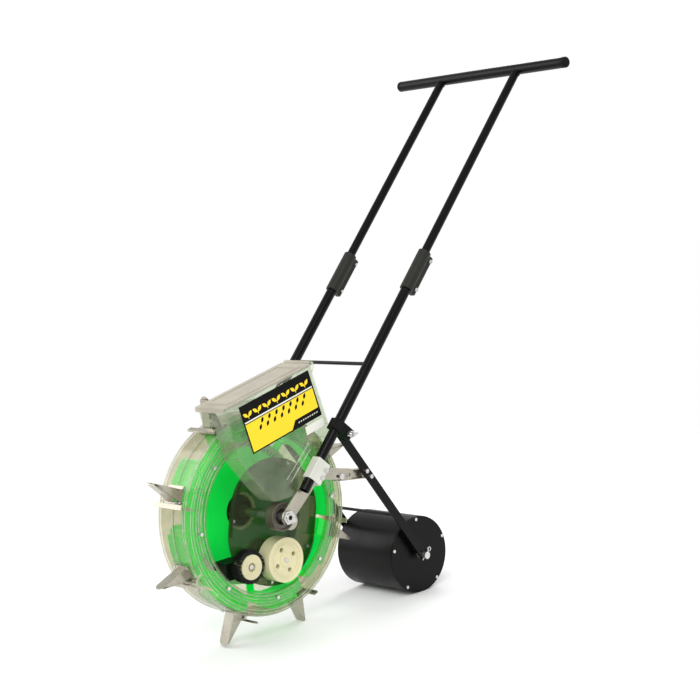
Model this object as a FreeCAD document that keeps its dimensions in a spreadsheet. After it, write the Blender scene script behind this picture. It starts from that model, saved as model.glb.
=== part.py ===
import FreeCAD, Part
import math
import os
import Sketcher

# Push seeder: a toothed planting wheel, a clear hopper beside it, a long handle and a press roller.
# Millimetres. X is the wheel axle and points to the open side of the wheel, -Y is the way the machine
# travels, +Z is up. The origin is the centre of the planting wheel on its axle.

V = FreeCAD.Vector
doc = FreeCAD.newDocument("push_seeder")

# ---------------------------------------------------------------- driving dimensions
DRIVING = {
    "rim_radius": 210, "rim_wall": 4, "rim_far": -48, "rim_near": 50, "mouth_opening": 163,
    "mouth_count": 8, "first_mouth": -22.5, "tip_radius": 280, "moving_tip": 274, "mouth_width": 28,
    "sheet_metal": 1.5, "press_plate_length": 90, "press_plate_width": 10, "jaw_pin": 2.5,
    "axle_radius": 9, "axle_bore": 5, "hub_radius": 34, "guide_outer": 186, "guide_inner": 165,
    "guide_disc": 155, "guide_start": 5, "guide_end": 40, "disc_start": -44, "disc_thick": 3,
    "gear_module": 3, "ring_teeth": 92, "pinion_teeth": 23, "gear_start": -38, "gear_width": 8,
    "roller_angle": 13, "seed_roller_radius": 47, "seed_roller_width": 36, "seed_roller_start": 24,
    "brush_radius": 36, "brush_core": 26, "brush_bore": 9.5, "brush_y": -61.5, "brush_z": -96,
    "chamber_start": 18, "chamber_thick": 3, "chamber_radius": 113,
    "chamber_top_y": 34, "chamber_top_z": -3, "chamber_low_y": 24, "chamber_low_z": -44,
    "hopper_far": 17, "hopper_step": 55, "hopper_near": 105, "hopper_wall": 2.5,
    "tube_x": 120, "lower_tube": 11, "lower_bore": 9.8, "upper_tube": 9.5, "upper_bore": 8,
    "handle_angle": 46.6, "joint_y": 391, "joint_z": 417, "lower_length": 508, "upper_length": 628,
    "bar_radius": 12.5, "bar_length": 536, "cap_length": 12, "coupler_length": 100,
    "coupler_radius": 14.5, "coupler_depth": 35,
    "pivot_y": 172, "pivot_z": 141, "press_y": 380, "press_z": -173.7, "press_radius": 85,
    "press_width": 176, "arm_x": 100, "arm_thick": 4, "arm_width": 20,
    "slot_y": 157, "slot_z": 52,
}
sheet = doc.addObject("Spreadsheet::Sheet", "Sheet")
for row, (alias, value) in enumerate(DRIVING.items(), start=1):
    sheet.set("A%d" % row, alias)
    sheet.set("B%d" % row, str(value))
    sheet.setAlias("B%d" % row, alias)
doc.recompute()


def size(expression):
    """Value of a length or count written in terms of the driving dimensions."""
    return float(sheet.evalExpression(expression))


# ---------------------------------------------------------------- shared shape helpers
def new_body(label):
    """An empty body whose label is the name of the piece."""
    body = doc.addObject("PartDesign::Body", label)
    body.Label = label
    return body


def new_sketch(body, plane, lift="0"):
    """A sketch on one of the body's own planes, lifted along that plane's normal."""
    sketch = body.newObject("Sketcher::SketchObject", body.Name + "_outline")
    support = [item for item in body.Origin.OriginFeatures if item.Role == plane][0]
    sketch.AttachmentSupport = [(support, "")]
    sketch.MapMode = "FlatFace"
    sketch.setExpression("AttachmentOffset.Base.z", lift)
    return sketch


def fix_point(sketch, geometry, end, across, along):
    """Hold one point by its two distances from the sketch origin."""
    for kind, expression in (("DistanceX", across), ("DistanceY", along)):
        rule = sketch.addConstraint(Sketcher.Constraint(kind, -1, 1, geometry, end, size(expression)))
        sketch.setExpression("Constraints[%d]" % rule, expression)


def draw_outline(sketch, corners):
    """A closed outline of straight sides with every corner held by expressions."""
    points = [V(size(across), size(along), 0) for across, along in corners]
    first = sketch.GeometryCount
    count = len(points)
    for index in range(count):
        sketch.addGeometry(Part.LineSegment(points[index], points[(index + 1) % count]))
    for index in range(count):
        follower = first + (index + 1) % count
        sketch.addConstraint(Sketcher.Constraint("Coincident", first + index, 2, follower, 1))
    for index, (across, along) in enumerate(corners):
        fix_point(sketch, first + index, 1, across, along)


def draw_circle(sketch, radius, across="0", along="0"):
    """A circle with its centre and radius held by expressions."""
    centre = V(size(across), size(along), 0)
    index = sketch.addGeometry(Part.Circle(centre, V(0, 0, 1), size(radius)))
    fix_point(sketch, index, 3, across, along)
    rule = sketch.addConstraint(Sketcher.Constraint("Radius", index, size(radius)))
    sketch.setExpression("Constraints[%d]" % rule, radius)


def pad(body, sketch, length):
    """Raise the sketch into a solid along its plane's normal."""
    feature = body.newObject("PartDesign::Pad", body.Name + "_pad")
    feature.Profile = sketch
    feature.setExpression("Length", length)
    return feature


def disc(label, start, length, radius, hole=None, at=("0", "0"), more_holes=()):
    """A round piece along X: a tube where a hole is given, a plain bar where none is."""
    body = new_body(label)
    sketch = new_sketch(body, "YZ_Plane", start)
    draw_circle(sketch, radius, *at)
    if hole:
        draw_circle(sketch, hole, *at)
    for hole_radius, across, along in more_holes:
        draw_circle(sketch, hole_radius, across, along)
    pad(body, sketch, length)
    return body


def plate(label, start, length, corners, holes=()):
    """A flat piece with straight sides, standing across X."""
    body = new_body(label)
    sketch = new_sketch(body, "YZ_Plane", start)
    draw_outline(sketch, corners)
    for hole_radius, across, along in holes:
        draw_circle(sketch, hole_radius, across, along)
    pad(body, sketch, length)
    return body


def turned(label, corners):
    """A piece turned about X from a half section given as distance along X and radius."""
    body = new_body(label)
    sketch = new_sketch(body, "XY_Plane")
    draw_outline(sketch, corners)
    feature = body.newObject("PartDesign::Revolution", label + "_turn")
    feature.Profile = sketch
    feature.ReferenceAxis = (sketch, ["H_Axis"])
    feature.Angle = 360
    return body


def coded(label, shape):
    """A piece made from solids the code works out, such as a set of equal fasteners."""
    piece = doc.addObject("Part::Feature", label)
    piece.Label = label
    piece.Shape = shape
    return piece


def cut_with(label, base, tool_shape):
    """The base piece with the tool solid taken away from it."""
    tool = coded(label + "_tool", tool_shape)
    base.Label = label + "_blank"
    result = doc.addObject("Part::Cut", label)
    result.Label = label
    result.Base = base
    result.Tool = tool
    return result


def cylinder(x_from, length, radius, y=0.0, z=0.0):
    """A plain solid along X."""
    return Part.makeCylinder(radius, length, V(x_from, y, z), V(1, 0, 0))


def block(x_from, x_to, y_from, y_to, z_from, z_to):
    """A plain solid between two corners."""
    corner = V(x_from, y_from, z_from)
    return Part.makeBox(x_to - x_from, y_to - y_from, z_to - z_from, corner)


def prism(points, x_from, length):
    """A solid along X with straight sides through the given Y and Z points."""
    loop = [V(x_from, y, z) for y, z in points]
    return Part.Face(Part.makePolygon(loop + loop[:1])).extrude(V(length, 0, 0))


def around(shape, angles):
    """Copies of a solid turned about the axle, one for each angle."""
    copies = []
    for angle in angles:
        copy = shape.copy()
        copy.rotate(V(0, 0, 0), V(1, 0, 0), angle)
        copies.append(copy)
    return copies


def bolt(x_face, grip, radius, y, z, outward=1):
    """A hexagon-headed bolt along X: the head stands outside x_face and the shank goes the other way."""
    head = Part.makeCylinder(radius * 1.7, radius * 1.3, V(x_face, y, z), V(outward, 0, 0))
    corners = [V(x_face, y + radius * 1.7 * math.cos(math.radians(60 * k)),
                 z + radius * 1.7 * math.sin(math.radians(60 * k))) for k in range(7)]
    hexagon = Part.Face(Part.makePolygon(corners)).extrude(V(outward * radius * 1.3, 0, 0))
    shank = Part.makeCylinder(radius, grip, V(x_face, y, z), V(-outward, 0, 0))
    return head.common(hexagon).fuse(shank).removeSplitter()


MOUTHS = int(size("Sheet.mouth_count"))
STEP = 360.0 / MOUTHS
MOUTH_ANGLES = [size("Sheet.first_mouth") + STEP * k for k in range(MOUTHS)]
BETWEEN_ANGLES = [angle + STEP / 2 for angle in MOUTH_ANGLES]
MOUTH_LETTERS = "abcdefgh"


# ---------------------------------------------------------------- planting wheel: clear drum in two halves
def mouth_window():
    """The opening in the rim under one mouth, with the holes for its four screws."""
    half = size("Sheet.mouth_width") / 2 - 1.6
    window = block(-half, half, -rim - 4, -rim + 8, -12, 12)
    for x in (-SCREW_X, SCREW_X):
        for z in (-SCREW_Z, SCREW_Z):
            hole = Part.makeCylinder(1.6, 14, V(x, -rim - 4, z), V(0, 1, 0))
            window = window.fuse(hole)
    return window


def wheel_bolt_holes(radius):
    """Clearance for the long bolts that hold the two halves together."""
    hole = cylinder(-70, 140, radius, y=-WHEEL_BOLT_CIRCLE)
    return around(hole, BETWEEN_ANGLES)


rim = size("Sheet.rim_radius")
SCREW_X = 21
SCREW_Z = 15
WHEEL_BOLT_CIRCLE = 176
HUB_BOLT_CIRCLE = 28
HUB_BOLT_ANGLES = [60 * k for k in range(6)]
windows = around(mouth_window(), MOUTH_ANGLES)
bolt_holes = wheel_bolt_holes(2.7)
hub_holes = around(cylinder(-70, 30, 2.7, y=-HUB_BOLT_CIRCLE), HUB_BOLT_ANGLES)

far_blank = turned("wheel_shell_far", [
    ("Sheet.rim_far", "20"), ("Sheet.rim_far", "Sheet.rim_radius"),
    ("-0.1", "Sheet.rim_radius"), ("-0.1", "Sheet.rim_radius-Sheet.rim_wall"),
    ("Sheet.rim_far+Sheet.rim_wall", "Sheet.rim_radius-Sheet.rim_wall"),
    ("Sheet.rim_far+Sheet.rim_wall", "20")])
cut_with("wheel_shell_far", far_blank, Part.makeCompound(windows + bolt_holes + hub_holes))

# The near half ends in stepped rings round the open mouth of the drum.
near_blank = turned("wheel_shell_near", [
    ("0.1", "Sheet.rim_radius-Sheet.rim_wall"), ("0.1", "Sheet.rim_radius"),
    ("Sheet.rim_near-5", "Sheet.rim_radius"), ("Sheet.rim_near", "Sheet.rim_radius-5"),
    ("Sheet.rim_near", "Sheet.mouth_opening+29"), ("Sheet.rim_near-3", "Sheet.mouth_opening+27"),
    ("Sheet.rim_near-3", "Sheet.mouth_opening+8"), ("Sheet.rim_near", "Sheet.mouth_opening+6"),
    ("Sheet.rim_near", "Sheet.mouth_opening"), ("Sheet.rim_near-9", "Sheet.mouth_opening"),
    ("Sheet.rim_near-9", "Sheet.mouth_opening+3"), ("Sheet.rim_near-6", "Sheet.mouth_opening+3"),
    ("Sheet.rim_near-6", "Sheet.mouth_opening+31"),
    ("Sheet.rim_near-8", "Sheet.rim_radius-Sheet.rim_wall")])
cut_with("wheel_shell_near", near_blank, Part.makeCompound(windows + bolt_holes))

turned("wheel_hub", [
    ("-66", "14"), ("-66", "18"), ("-52", "18"), ("-52", "Sheet.hub_radius"),
    ("Sheet.rim_far", "Sheet.hub_radius"), ("Sheet.rim_far", "20"), ("-32", "20"), ("-32", "14")])
cut_with("wheel_hub", doc.getObject("wheel_hub"), Part.makeCompound(hub_holes))


def ball_bearing(start):
    """A ring bearing between the hub bore and the axle, shown with its side grooves."""
    ring = cylinder(start, 7, 14).cut(cylinder(start, 7, size("Sheet.axle_radius") + 0.05))
    groove = cylinder(start, 0.6, 12.6).cut(cylinder(start, 0.6, 10.8))
    far_groove = groove.translated(V(6.4, 0, 0))
    return ring.cut(groove).cut(far_groove)


coded("wheel_bearings", Part.makeCompound([ball_bearing(-65), ball_bearing(-40)]))


def wheel_bolt():
    """One long bolt through both halves, with its nut on the far side."""
    near_face = size("Sheet.rim_near") - 3
    far_face = size("Sheet.rim_far")
    shape = bolt(near_face, near_face - far_face + 7, 2.5, -WHEEL_BOLT_CIRCLE, 0)
    nut = cylinder(far_face - 4, 4, 4.5, y=-WHEEL_BOLT_CIRCLE)
    return shape.fuse(nut)


hub_bolt = bolt(-52, 10, 2.5, -HUB_BOLT_CIRCLE, 0, outward=-1)
all_wheel_bolts = around(wheel_bolt(), BETWEEN_ANGLES) + around(hub_bolt, HUB_BOLT_ANGLES)
coded("wheel_bolts", Part.makeCompound(all_wheel_bolts))


# ---------------------------------------------------------------- seed guide, cups and ring gear
def sector(outer, half_angle, x_from, length):
    """A wedge of a disc pointing forward, for trimming rings into segments."""
    edge = [(0, 0)]
    for angle in (-half_angle, 0, half_angle):
        turn = math.radians(angle)
        edge.append((-outer * 1.1 * math.cos(turn), outer * 1.1 * math.sin(turn)))
    return prism(edge, x_from, length)


GUIDE_OUTER = size("Sheet.guide_outer")
GUIDE_INNER = size("Sheet.guide_inner")
GUIDE_START = size("Sheet.guide_start")
GUIDE_END = size("Sheet.guide_end")
DISC_START = size("Sheet.disc_start")
DISC_THICK = size("Sheet.disc_thick")
DISC_RADIUS = size("Sheet.guide_disc")
POST_RADIUS = 5
LOBE_RADIUS = 9


def guide_segment():
    """One hollow wall of the seed guide between two mouths, with its post and the disc's lobe under it."""
    skin = 3
    length = GUIDE_END - GUIDE_START
    wall = cylinder(GUIDE_START, length, GUIDE_OUTER).cut(cylinder(GUIDE_START, length, GUIDE_INNER))
    void = cylinder(GUIDE_START + skin, length - 2 * skin, GUIDE_OUTER - skin)
    void = void.cut(cylinder(GUIDE_START, length, GUIDE_INNER + skin))
    wedge = sector(GUIDE_OUTER, 14, GUIDE_START, length)
    post = cylinder(DISC_START, GUIDE_END - DISC_START, POST_RADIUS, y=-WHEEL_BOLT_CIRCLE)
    lobe = block(DISC_START, DISC_START + DISC_THICK, -WHEEL_BOLT_CIRCLE, 10 - DISC_RADIUS,
                 -LOBE_RADIUS, LOBE_RADIUS)
    lobe = lobe.fuse(cylinder(DISC_START, DISC_THICK, LOBE_RADIUS, y=-WHEEL_BOLT_CIRCLE))
    return wall.cut(void).common(wedge).fuse([post, lobe])


guide_disc = cylinder(DISC_START, DISC_THICK, DISC_RADIUS).cut(cylinder(DISC_START, DISC_THICK, 40))
guide = guide_disc.fuse(around(guide_segment(), BETWEEN_ANGLES))
coded("seed_guide", guide.cut(Part.makeCompound(bolt_holes)).removeSplitter())


SCOOP_TURN = -13.8
SCOOP_HALF = 28
SCOOP_RADII = (188.5, 205)


def scoop():
    """The open tray of a cup, lying just inside the rim on the trailing side of its mouth."""
    skin = 3
    inner, outer = SCOOP_RADII
    width = 2 * SCOOP_HALF
    tray = cylinder(-SCOOP_HALF, width, outer).cut(cylinder(-SCOOP_HALF, width, inner))
    hollow = cylinder(skin - SCOOP_HALF, width - 2 * skin, outer + skin)
    hollow = hollow.cut(cylinder(-SCOOP_HALF, width, inner + skin))
    tray = tray.common(sector(outer, 8.5, -SCOOP_HALF, width))
    return around(tray.cut(hollow.common(sector(outer, 7.5, -SCOOP_HALF, width))), [SCOOP_TURN])[0]


def seed_cup():
    """The green chute that leads seed from inside the drum to one mouth, with its tray."""
    body = prism([(-204, -15), (-204, 15), (-169, 19), (-169, -19)], -17, 34)
    hollow = prism([(-206, -12.5), (-206, 12.5), (-167, 16.5), (-167, -16.5)], -14.5, 29)
    fin = block(-37, 37, -203, -174, 17, 19)
    web = block(-17, 17, -200, -180, 15, 18)
    return body.fuse([fin, web.cut(hollow), scoop()]).cut(hollow).removeSplitter()


coded("seed_cups", Part.makeCompound(around(seed_cup(), MOUTH_ANGLES)))


def gear_outline(teeth, module, tooth_height_out, tooth_height_in):
    """Corners of a toothed circle: four corners to each tooth, in order round the circle."""
    pitch_radius = teeth * module / 2
    pitch_angle = 2 * math.pi / teeth
    corners = []
    for tooth in range(teeth):
        middle = tooth * pitch_angle
        for offset, height in ((-0.33, -tooth_height_in), (-0.14, tooth_height_out),
                               (0.14, tooth_height_out), (0.33, -tooth_height_in)):
            angle = middle + offset * pitch_angle
            radius = pitch_radius + height
            corners.append((radius * math.cos(angle), radius * math.sin(angle)))
    return corners


MODULE = size("Sheet.gear_module")
GEAR_START = size("Sheet.gear_start")
GEAR_WIDTH = size("Sheet.gear_width")
ring_teeth = int(size("Sheet.ring_teeth"))
ring_space = gear_outline(ring_teeth, MODULE, 1.25 * MODULE, MODULE)
ring_blank = cylinder(-41, 11, ring_teeth * MODULE / 2 + 14)
ring_gear = ring_blank.cut(prism(ring_space, GEAR_START, GEAR_WIDTH))
ring_gear = ring_gear.cut(cylinder(-41, 11, ring_teeth * MODULE / 2 - 0.9 * MODULE))
coded("ring_gear", ring_gear)


# ---------------------------------------------------------------- fixed jaws of the mouths
PIN_Y = -216
PIN_Z = -17
TIP = size("Sheet.tip_radius")
SKIN = size("Sheet.sheet_metal")
HALF_MOUTH = size("Sheet.mouth_width") / 2


def round_tipped_plate(half_width, tip, root, z_from, thickness):
    """A flat blade pointing forward with a rounded end."""
    shoulder = tip - half_width * 0.8
    arc = Part.Arc(V(-half_width, -shoulder, z_from), V(0, -tip, z_from), V(half_width, -shoulder, z_from))
    sides = [V(half_width, -shoulder, z_from), V(half_width, -root, z_from),
             V(-half_width, -root, z_from), V(-half_width, -shoulder, z_from)]
    wire = Part.Wire([arc.toShape()] + Part.makePolygon(sides).Edges)
    return Part.Face(wire).extrude(V(0, 0, thickness))


def fixed_jaw():
    """Folded sheet mouth: blade on the trailing side, two side walls, base flange and hinge ears."""
    blade = round_tipped_plate(HALF_MOUTH, TIP, rim, 12, SKIN)
    wall_points = [(-rim, 12 + SKIN), (-rim, -12), (-TIP + 8, 12 + SKIN)]
    walls = [prism(wall_points, -HALF_MOUTH, SKIN), prism(wall_points, HALF_MOUTH - SKIN, SKIN)]
    flange = block(-25, 25, -rim - SKIN, -rim, -20, 20)
    flange = flange.cut(block(-HALF_MOUTH + SKIN, HALF_MOUTH - SKIN, -rim - 2, -rim + 1, -12, 12))
    ear_points = [(-rim, -20.5), (-rim, -12), (PIN_Y - 4, PIN_Z + 3), (PIN_Y - 4, PIN_Z - 3)]
    ears = [prism(ear_points, -17, SKIN), prism(ear_points, 17 - SKIN, SKIN)]
    jaw = blade.fuse(walls + [flange] + ears)
    for x in (-SCREW_X, SCREW_X):
        for z in (-SCREW_Z, SCREW_Z):
            jaw = jaw.cut(Part.makeCylinder(1.6, 6, V(x, -rim - 4, z), V(0, 1, 0)))
    return jaw.cut(cylinder(-30, 60, size("Sheet.jaw_pin"), PIN_Y, PIN_Z)).removeSplitter()


def jaw_screw(x, z):
    """A small round-headed screw that holds the mouth's base to the rim."""
    head = Part.makeCylinder(2.6, 2, V(x, -rim - SKIN - 2, z), V(0, 1, 0))
    head = head.makeFillet(0.8, [head.Edges[2]])
    return head.fuse(Part.makeCylinder(1.5, 9, V(x, -rim - SKIN, z), V(0, 1, 0)))


def coil():
    """Three flat-wound turns of spring wire round the hinge pin, joined by a short bar."""
    inner = 3.2
    outer = 4.2
    wire = 0.7
    pitch = 0.8
    start = HALF_MOUTH - SKIN + 0.2
    turns = []
    for index in range(3):
        ring = cylinder(start + index * pitch, wire, outer, PIN_Y, PIN_Z)
        turns.append(ring.cut(cylinder(start + index * pitch, wire, inner, PIN_Y, PIN_Z)))
    end = start + 2 * pitch + wire
    bar = block(start, end, PIN_Y - outer + 0.1, PIN_Y - inner - 0.1, PIN_Z - 0.5, PIN_Z + 0.5)
    return turns[0].fuse(turns[1:] + [bar]).removeSplitter()


screws = [jaw_screw(x, z) for x in (-SCREW_X, SCREW_X) for z in (-SCREW_Z, SCREW_Z)]
pin = cylinder(-18.2, 36.4, size("Sheet.jaw_pin"), PIN_Y, PIN_Z)
springs = [coil(), coil().mirror(V(0, 0, 0), V(1, 0, 0))]


def copies_at_mouths(shapes):
    """The given solids repeated at every mouth."""
    solids = []
    for shape in shapes:
        solids.extend(around(shape, MOUTH_ANGLES))
    return Part.makeCompound(solids)


coded("fixed_jaws", copies_at_mouths([fixed_jaw()]))
coded("jaw_screws", copies_at_mouths(screws))
coded("jaw_pins", copies_at_mouths([pin]))
coded("jaw_springs", copies_at_mouths(springs))


# ---------------------------------------------------------------- moving jaws with their press plates
def moving_jaw():
    """The hinged half of a mouth: sloping blade, side walls, barrel on the pin and wide press plate."""
    half = HALF_MOUTH - SKIN - 0.5
    tip = size("Sheet.moving_tip")
    blade = prism([(PIN_Y + 1, PIN_Z + 3), (PIN_Y - 1, PIN_Z + 3), (-tip, 9.5), (-tip, 11)], -half, 2 * half)
    wall_points = [(PIN_Y - 1, PIN_Z + 3), (-tip + 4, 10), (PIN_Y - 14, 3)]
    walls = [prism(wall_points, -half, SKIN), prism(wall_points, half - SKIN, SKIN)]
    barrel = cylinder(-half, 2 * half, 4.4, PIN_Y, PIN_Z)
    half_plate = size("Sheet.press_plate_length") / 2
    plate_z = PIN_Z - 2 - size("Sheet.press_plate_width")
    press = block(-half_plate, half_plate, PIN_Y - 7.5, PIN_Y - 6, plate_z, PIN_Z - 2)
    press = press.fuse(block(-half_plate, half_plate, PIN_Y - 6, PIN_Y - 3, plate_z, plate_z + 1.5))
    arm = block(-half, half, PIN_Y - 6.5, PIN_Y - 2, PIN_Z - 4, PIN_Z - 2)
    jaw = blade.fuse(walls + [barrel, press, arm])
    return jaw.cut(cylinder(-half, 2 * half, size("Sheet.jaw_pin") + 0.05, PIN_Y, PIN_Z)).removeSplitter()


one_moving_jaw = moving_jaw()
for letter, angle in zip(MOUTH_LETTERS, MOUTH_ANGLES):
    coded("moving_jaw_" + letter, around(one_moving_jaw, [angle])[0])


# ---------------------------------------------------------------- helpers for linked plates and the handle
def link(x_from, thickness, first, second, radius):
    """A flat bar with round ends between two centres."""
    start = V(x_from, *first)
    end = V(x_from, *second)
    along = (end - start).normalize() * radius
    side = V(1, 0, 0).cross(along)
    curves = [Part.Arc(start + side, start - along, start - side),
              Part.LineSegment(start - side, end - side),
              Part.Arc(end - side, end + along, end + side),
              Part.LineSegment(end + side, start + side)]
    wire = Part.Wire([curve.toShape() for curve in curves])
    return Part.Face(wire).extrude(V(thickness, 0, 0))


TUBE_X = size("Sheet.tube_x")
HANDLE_ANGLE = size("Sheet.handle_angle")
JOINT = V(0, size("Sheet.joint_y"), size("Sheet.joint_z"))


def on_handle(shape):
    """Stand a solid on the handle line: its Y axis becomes the way up the tubes."""
    placed = shape.copy()
    placed.rotate(V(0, 0, 0), V(1, 0, 0), HANDLE_ANGLE)
    placed.translate(JOINT)
    return placed


def both_sides(shape):
    """The near-side solid and its mirror on the far side."""
    return [shape, shape.mirror(V(0, 0, 0), V(1, 0, 0))]


def tube_solid(start, length, radius, bore, x=None):
    """A round tube along the handle line, near side unless another X is given."""
    x = TUBE_X if x is None else x
    outer = Part.makeCylinder(radius, length, V(x, start, 0), V(0, 1, 0))
    if bore:
        outer = outer.cut(Part.makeCylinder(bore, length, V(x, start, 0), V(0, 1, 0)))
    return outer


# ---------------------------------------------------------------- axle, side plates and saddles
PIVOT = (size("Sheet.pivot_y"), size("Sheet.pivot_z"))
SLOT = (size("Sheet.slot_y"), size("Sheet.slot_z"))
SADDLE_BOLTS = [(-467, -17), (-449, -17)]
PLATE_X = 105.5
PLATE = 3

disc("axle_tube", "-122", "240", "Sheet.axle_radius", "Sheet.axle_bore")


def hex_nut(x_from, length, bore, y=0.0, z=0.0):
    """A plain hexagon nut along X."""
    radius = bore * 1.7
    corners = [(y + radius * math.cos(math.radians(60 * k)), z + radius * math.sin(math.radians(60 * k)))
               for k in range(6)]
    return prism(corners, x_from, length).cut(cylinder(x_from, length, bore, y, z))


AXLE_RADIUS = size("Sheet.axle_radius")
coded("axle_nuts", Part.makeCompound(both_sides(hex_nut(PLATE_X + PLATE, 7, AXLE_RADIUS))))


def handle_point(along, across):
    """Y and Z of a point given along and across the handle line."""
    turn = math.radians(HANDLE_ANGLE)
    return (JOINT.y + along * math.cos(turn) - across * math.sin(turn),
            JOINT.z + along * math.sin(turn) + across * math.cos(turn))


def arc_slot(centre, start_point, low, high, half_width):
    """A curved slot along X round a centre, swept from the start point between two angles."""
    radius = math.hypot(start_point[0] - centre[0], start_point[1] - centre[1])
    base = math.degrees(math.atan2(start_point[1] - centre[1], start_point[0] - centre[0]))
    ring = cylinder(0, 200, radius + half_width, *centre).cut(cylinder(0, 200, radius - half_width, *centre))
    edge = [centre]
    for angle in (low, (low + high) / 2, high):
        turn = math.radians(base + angle)
        edge.append((centre[0] + 2 * radius * math.cos(turn), centre[1] + 2 * radius * math.sin(turn)))
    slot = ring.common(prism(edge, 0, 200))
    for angle in (low, high):
        turn = math.radians(base + angle)
        end = (centre[0] + radius * math.cos(turn), centre[1] + radius * math.sin(turn))
        slot = slot.fuse(cylinder(0, 200, half_width, *end))
    return slot


def side_plate(with_slot):
    """The flat plate from the axle to the foot of a handle tube; the near one also carries the arc slot."""
    foot = handle_point(-458, -17)
    shape = link(PLATE_X, PLATE, (0, 0), foot, 15)
    if with_slot:
        shape = shape.fuse(link(PLATE_X, PLATE, foot, (180, 52), 12))
        shape = shape.cut(arc_slot(PIVOT, SLOT, -7, 15, 3.1))
    shape = shape.cut(cylinder(PLATE_X, PLATE, AXLE_RADIUS))
    for along, across in SADDLE_BOLTS:
        shape = shape.cut(cylinder(PLATE_X, PLATE, 3, *handle_point(along, across)))
    return shape.removeSplitter()


coded("side_plate_near", side_plate(True))
coded("side_plate_far", side_plate(False).mirror(V(0, 0, 0), V(1, 0, 0)))

LOWER_START = -size("Sheet.lower_length")
LOWER_END = 58
LOWER_RADIUS = size("Sheet.lower_tube")
lower = on_handle(tube_solid(LOWER_START, LOWER_END - LOWER_START, LOWER_RADIUS, size("Sheet.lower_bore")))
coded("lower_tubes", Part.makeCompound(both_sides(lower)))


def clamp_block(along, length, below, x_from, holes):
    """A block gripping the lower tube, reaching behind it to take bolts along X."""
    shape = Part.makeBox(TUBE_X + 13 - x_from, length, below + 13, V(x_from, along, -below))
    edges = [edge for edge in shape.Edges if abs(edge.tangentAt(edge.FirstParameter).y) > 0.9]
    shape = shape.makeFillet(4, edges)
    shape = shape.cut(tube_solid(along - 1, length + 2, size("Sheet.lower_tube"), None))
    shape = on_handle(shape)
    for spot, across, radius in holes:
        shape = shape.cut(cylinder(90, 60, radius, *handle_point(spot, across)))
    return shape


saddle_holes = [(along, across, 3) for along, across in SADDLE_BOLTS]
saddle = clamp_block(-482, 48, 24, PLATE_X + PLATE, saddle_holes)
coded("saddles", Part.makeCompound(both_sides(saddle)))

pivot_y = PIVOT[0] - JOINT.y
pivot_z = PIVOT[1] - JOINT.z
turn = math.radians(HANDLE_ANGLE)
PIVOT_ALONG = pivot_y * math.cos(turn) + pivot_z * math.sin(turn)
PIVOT_ACROSS = -pivot_y * math.sin(turn) + pivot_z * math.cos(turn)
lug = clamp_block(PIVOT_ALONG - 12, 24, -PIVOT_ACROSS + 9, PLATE_X, [(PIVOT_ALONG, PIVOT_ACROSS, 4.05)])
coded("pivot_lugs", Part.makeCompound(both_sides(lug)))

CROSS_ROD = handle_point(-195, 0)
rod = cylinder(-115, 230, 4, *CROSS_ROD)
for side in (1, -1):
    rod = rod.cut(on_handle(tube_solid(-300, 200, size("Sheet.lower_tube"), None, side * TUBE_X)))
coded("cross_rod", rod)

# ---------------------------------------------------------------- telescope couplers and frame bolts
COUPLER = size("Sheet.coupler_length")
COUPLER_BOLTS = [(12, -19), (COUPLER - 12, -19)]


def coupler():
    """The moulded clamp where the upper tube slides out of the lower one."""
    sleeve = tube_solid(0, COUPLER, size("Sheet.coupler_radius"), None)
    depth = size("Sheet.coupler_depth") - size("Sheet.coupler_radius")
    flange = Part.makeBox(14, COUPLER, depth + 4, V(TUBE_X - 7, 0, -depth - 4))
    flange = flange.makeFillet(2, flange.Edges)
    shape = sleeve.fuse(flange)
    shape = shape.cut(tube_solid(-1, 61, size("Sheet.lower_tube"), None))
    shape = shape.cut(tube_solid(59, COUPLER, size("Sheet.upper_tube") + 0.05, None))
    shape = on_handle(shape)
    for along, across in COUPLER_BOLTS:
        shape = shape.cut(cylinder(100, 40, 3, *handle_point(along, across)))
    return shape


coded("couplers", Part.makeCompound(both_sides(coupler())))

STUDS = [(30, -21), (46, -20)]
frame_bolts = [bolt(72, 60, 3, *point) for point in STUDS]
for along, across in SADDLE_BOLTS:
    frame_bolts += both_sides(bolt(TUBE_X + 13, 35, 3, *handle_point(along, across)))
for along, across in COUPLER_BOLTS:
    frame_bolts += both_sides(bolt(TUBE_X + 7, 18, 3, *handle_point(along, across)))
coded("frame_bolts", Part.makeCompound(frame_bolts))


# ---------------------------------------------------------------- hopper, its lid and its label
HOPPER_SIDE = [(-125, 246), (107, 297), (141, 168), (141, 137), (36, 38), (-24, 38), (-52, 66), (-105, 140)]
HOPPER_FAR = size("Sheet.hopper_far")
HOPPER_STEP = size("Sheet.hopper_step")
HOPPER_NEAR = size("Sheet.hopper_near")
WALL = size("Sheet.hopper_wall")
LID_SLOPE = (297 - 246) / (107 + 125)
HINGE = (114.5, 300.5)
LID_BACK = 109
LID_FRONT = -130
LID_GAP = 0.6
LID_THICK = 3
LID_FAR = HOPPER_FAR - 3
LID_NEAR = HOPPER_NEAR + 2.8


SHELF_RADIUS = 238
SPOUT = (-12, 34, 42, 78)
SPOUT_START = 26
EAR_SIDE = [(107, 284), (112, 280), (119, 293), (119, 305), (110, 305), (110, 296)]
EAR_WIDTH = 5
PIN_RADIUS = 2
SEAM = 0.0002
FAR_OUT = 200


def inset(points, thickness):
    """The same outline moved inwards by the wall thickness, corner for corner."""
    corners = []
    for index, point in enumerate(points):
        corner = V(0, *point)
        back = (V(0, *points[index - 1]) - corner).normalize()
        ahead = (V(0, *points[(index + 1) % len(points)]) - corner).normalize()
        half_angle = back.getAngle(ahead) / 2
        corner = corner + (back + ahead).normalize() * (thickness / math.sin(half_angle))
        corners.append((corner.y, corner.z))
    return corners


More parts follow.
